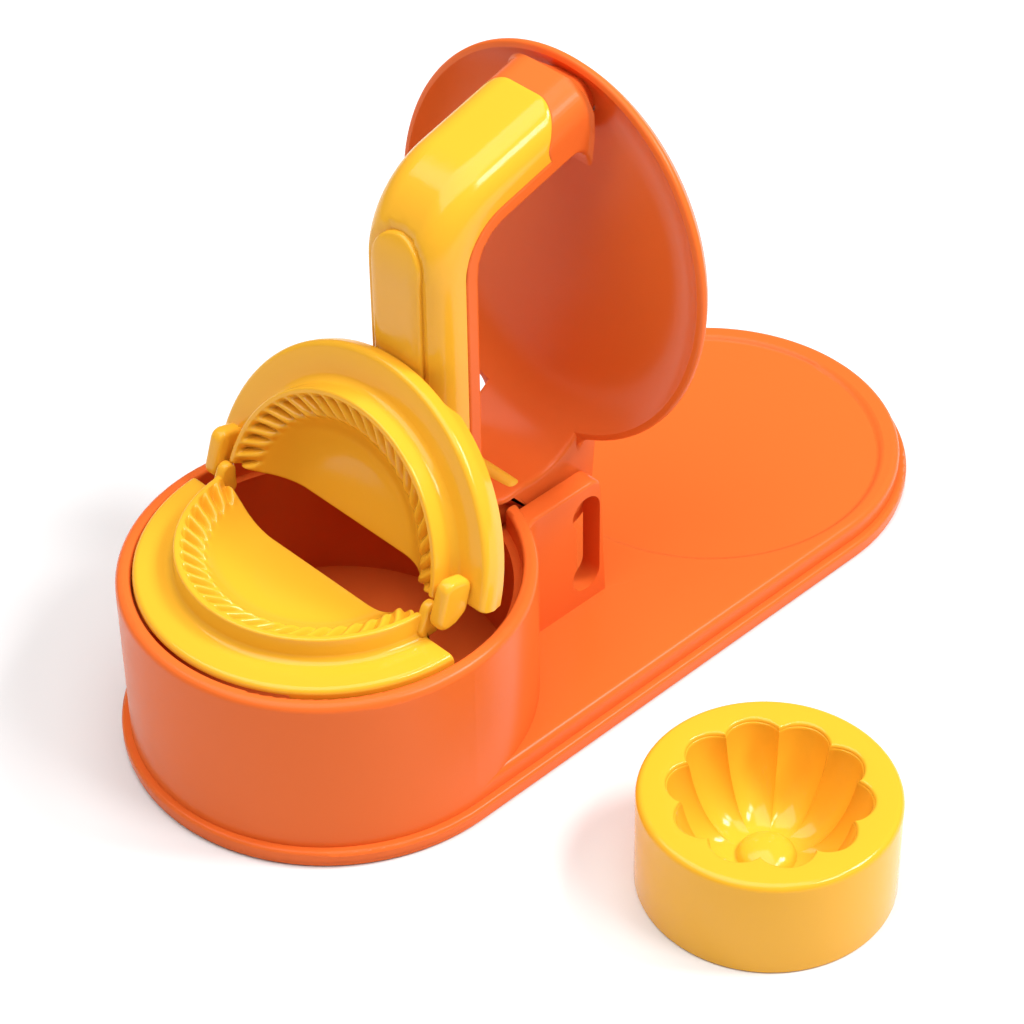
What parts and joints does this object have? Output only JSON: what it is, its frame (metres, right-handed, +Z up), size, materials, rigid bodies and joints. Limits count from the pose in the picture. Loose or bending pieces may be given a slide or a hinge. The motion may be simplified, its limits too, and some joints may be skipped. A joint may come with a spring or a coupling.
{
  "type": "empanada press",
  "caption": "Dough press on a long round-ended base: tub with a folding crimp mould, rolling platform, round lid with a grip on a hinged neck, and a loose fluted flower mould.",
  "frame": {"origin": "middle of the bottom cover's underside", "axes": "+Z up, +Y from the tub to the platform, +X to the side where the loose flower mould stands"},
  "size_m": [0.2326, 0.286, 0.1861],
  "materials": {
    "orange_plastic": "gloss",
    "yellow_plastic": "gloss",
    "yellow_soft": "satin",
    "foot_rubber": "matte",
    "screw_steel": "brushed",
    "pin_steel": "brushed"
  },
  "bodies": {
    "base": {"base_housing": "orange_plastic", "bottom_cover": "orange_plastic", "foot_1": "foot_rubber", "foot_2": "foot_rubber", "foot_3": "foot_rubber", "foot_4": "foot_rubber", "cover_screws": "screw_steel"},
    "axle": {"lid_axle": "orange_plastic"},
    "lid": {"press_lid": "orange_plastic", "press_plate": "orange_plastic", "handle_core": "orange_plastic", "handle_cover": "yellow_plastic", "handle_inlay": "yellow_plastic", "handle_screws": "screw_steel", "lid_screws": "screw_steel", "neck_pad": "yellow_soft"},
    "mould_front": {"front_leaf": "yellow_plastic"},
    "mould_pins": {"hinge_pin_left": "pin_steel", "hinge_pin_right": "pin_steel"},
    "mould_rear": {"rear_leaf": "yellow_plastic"},
    "flower": {"flower_mold": "yellow_plastic"}
  },
  "joints": [
    {"name": "axle_slide", "type": "slide", "parent": "base", "child": "axle", "axis": [0, 0, 1], "range_m": [-0.0238, 0]},
    {"name": "lid_hinge", "type": "hinge", "parent": "axle", "child": "lid", "pos_m": [0, -0.0024, 0.0457], "axis": [1, 0, 0], "range_deg": [-83.12, 0]},
    {"name": "mould_lift", "type": "slide", "parent": "base", "child": "mould_pins", "axis": [0, 0, 1], "range_m": [0, 0.06]},
    {"name": "leaf_fold", "type": "hinge", "parent": "mould_pins", "child": "mould_front", "pos_m": [0, -0.0805, 0.068], "axis": [1, 0, 0], "range_deg": [-108, 0]},
    {"name": "leaf_rock", "type": "hinge", "parent": "mould_pins", "child": "mould_rear", "pos_m": [0, -0.0805, 0.068], "axis": [1, 0, 0], "range_deg": [-72, 0]},
    {"name": "flower_lift", "type": "slide", "parent": "base", "child": "flower", "axis": [0, 0, 1], "range_m": [0, 0.06]}
  ],
  "couplings": [
    {"joint": "axle_slide", "follows": "lid_hinge", "m_per_rad": 0.016405},
    {"joint": "leaf_rock", "follows": "lid_hinge", "ratio": 0.8662}
  ]
}
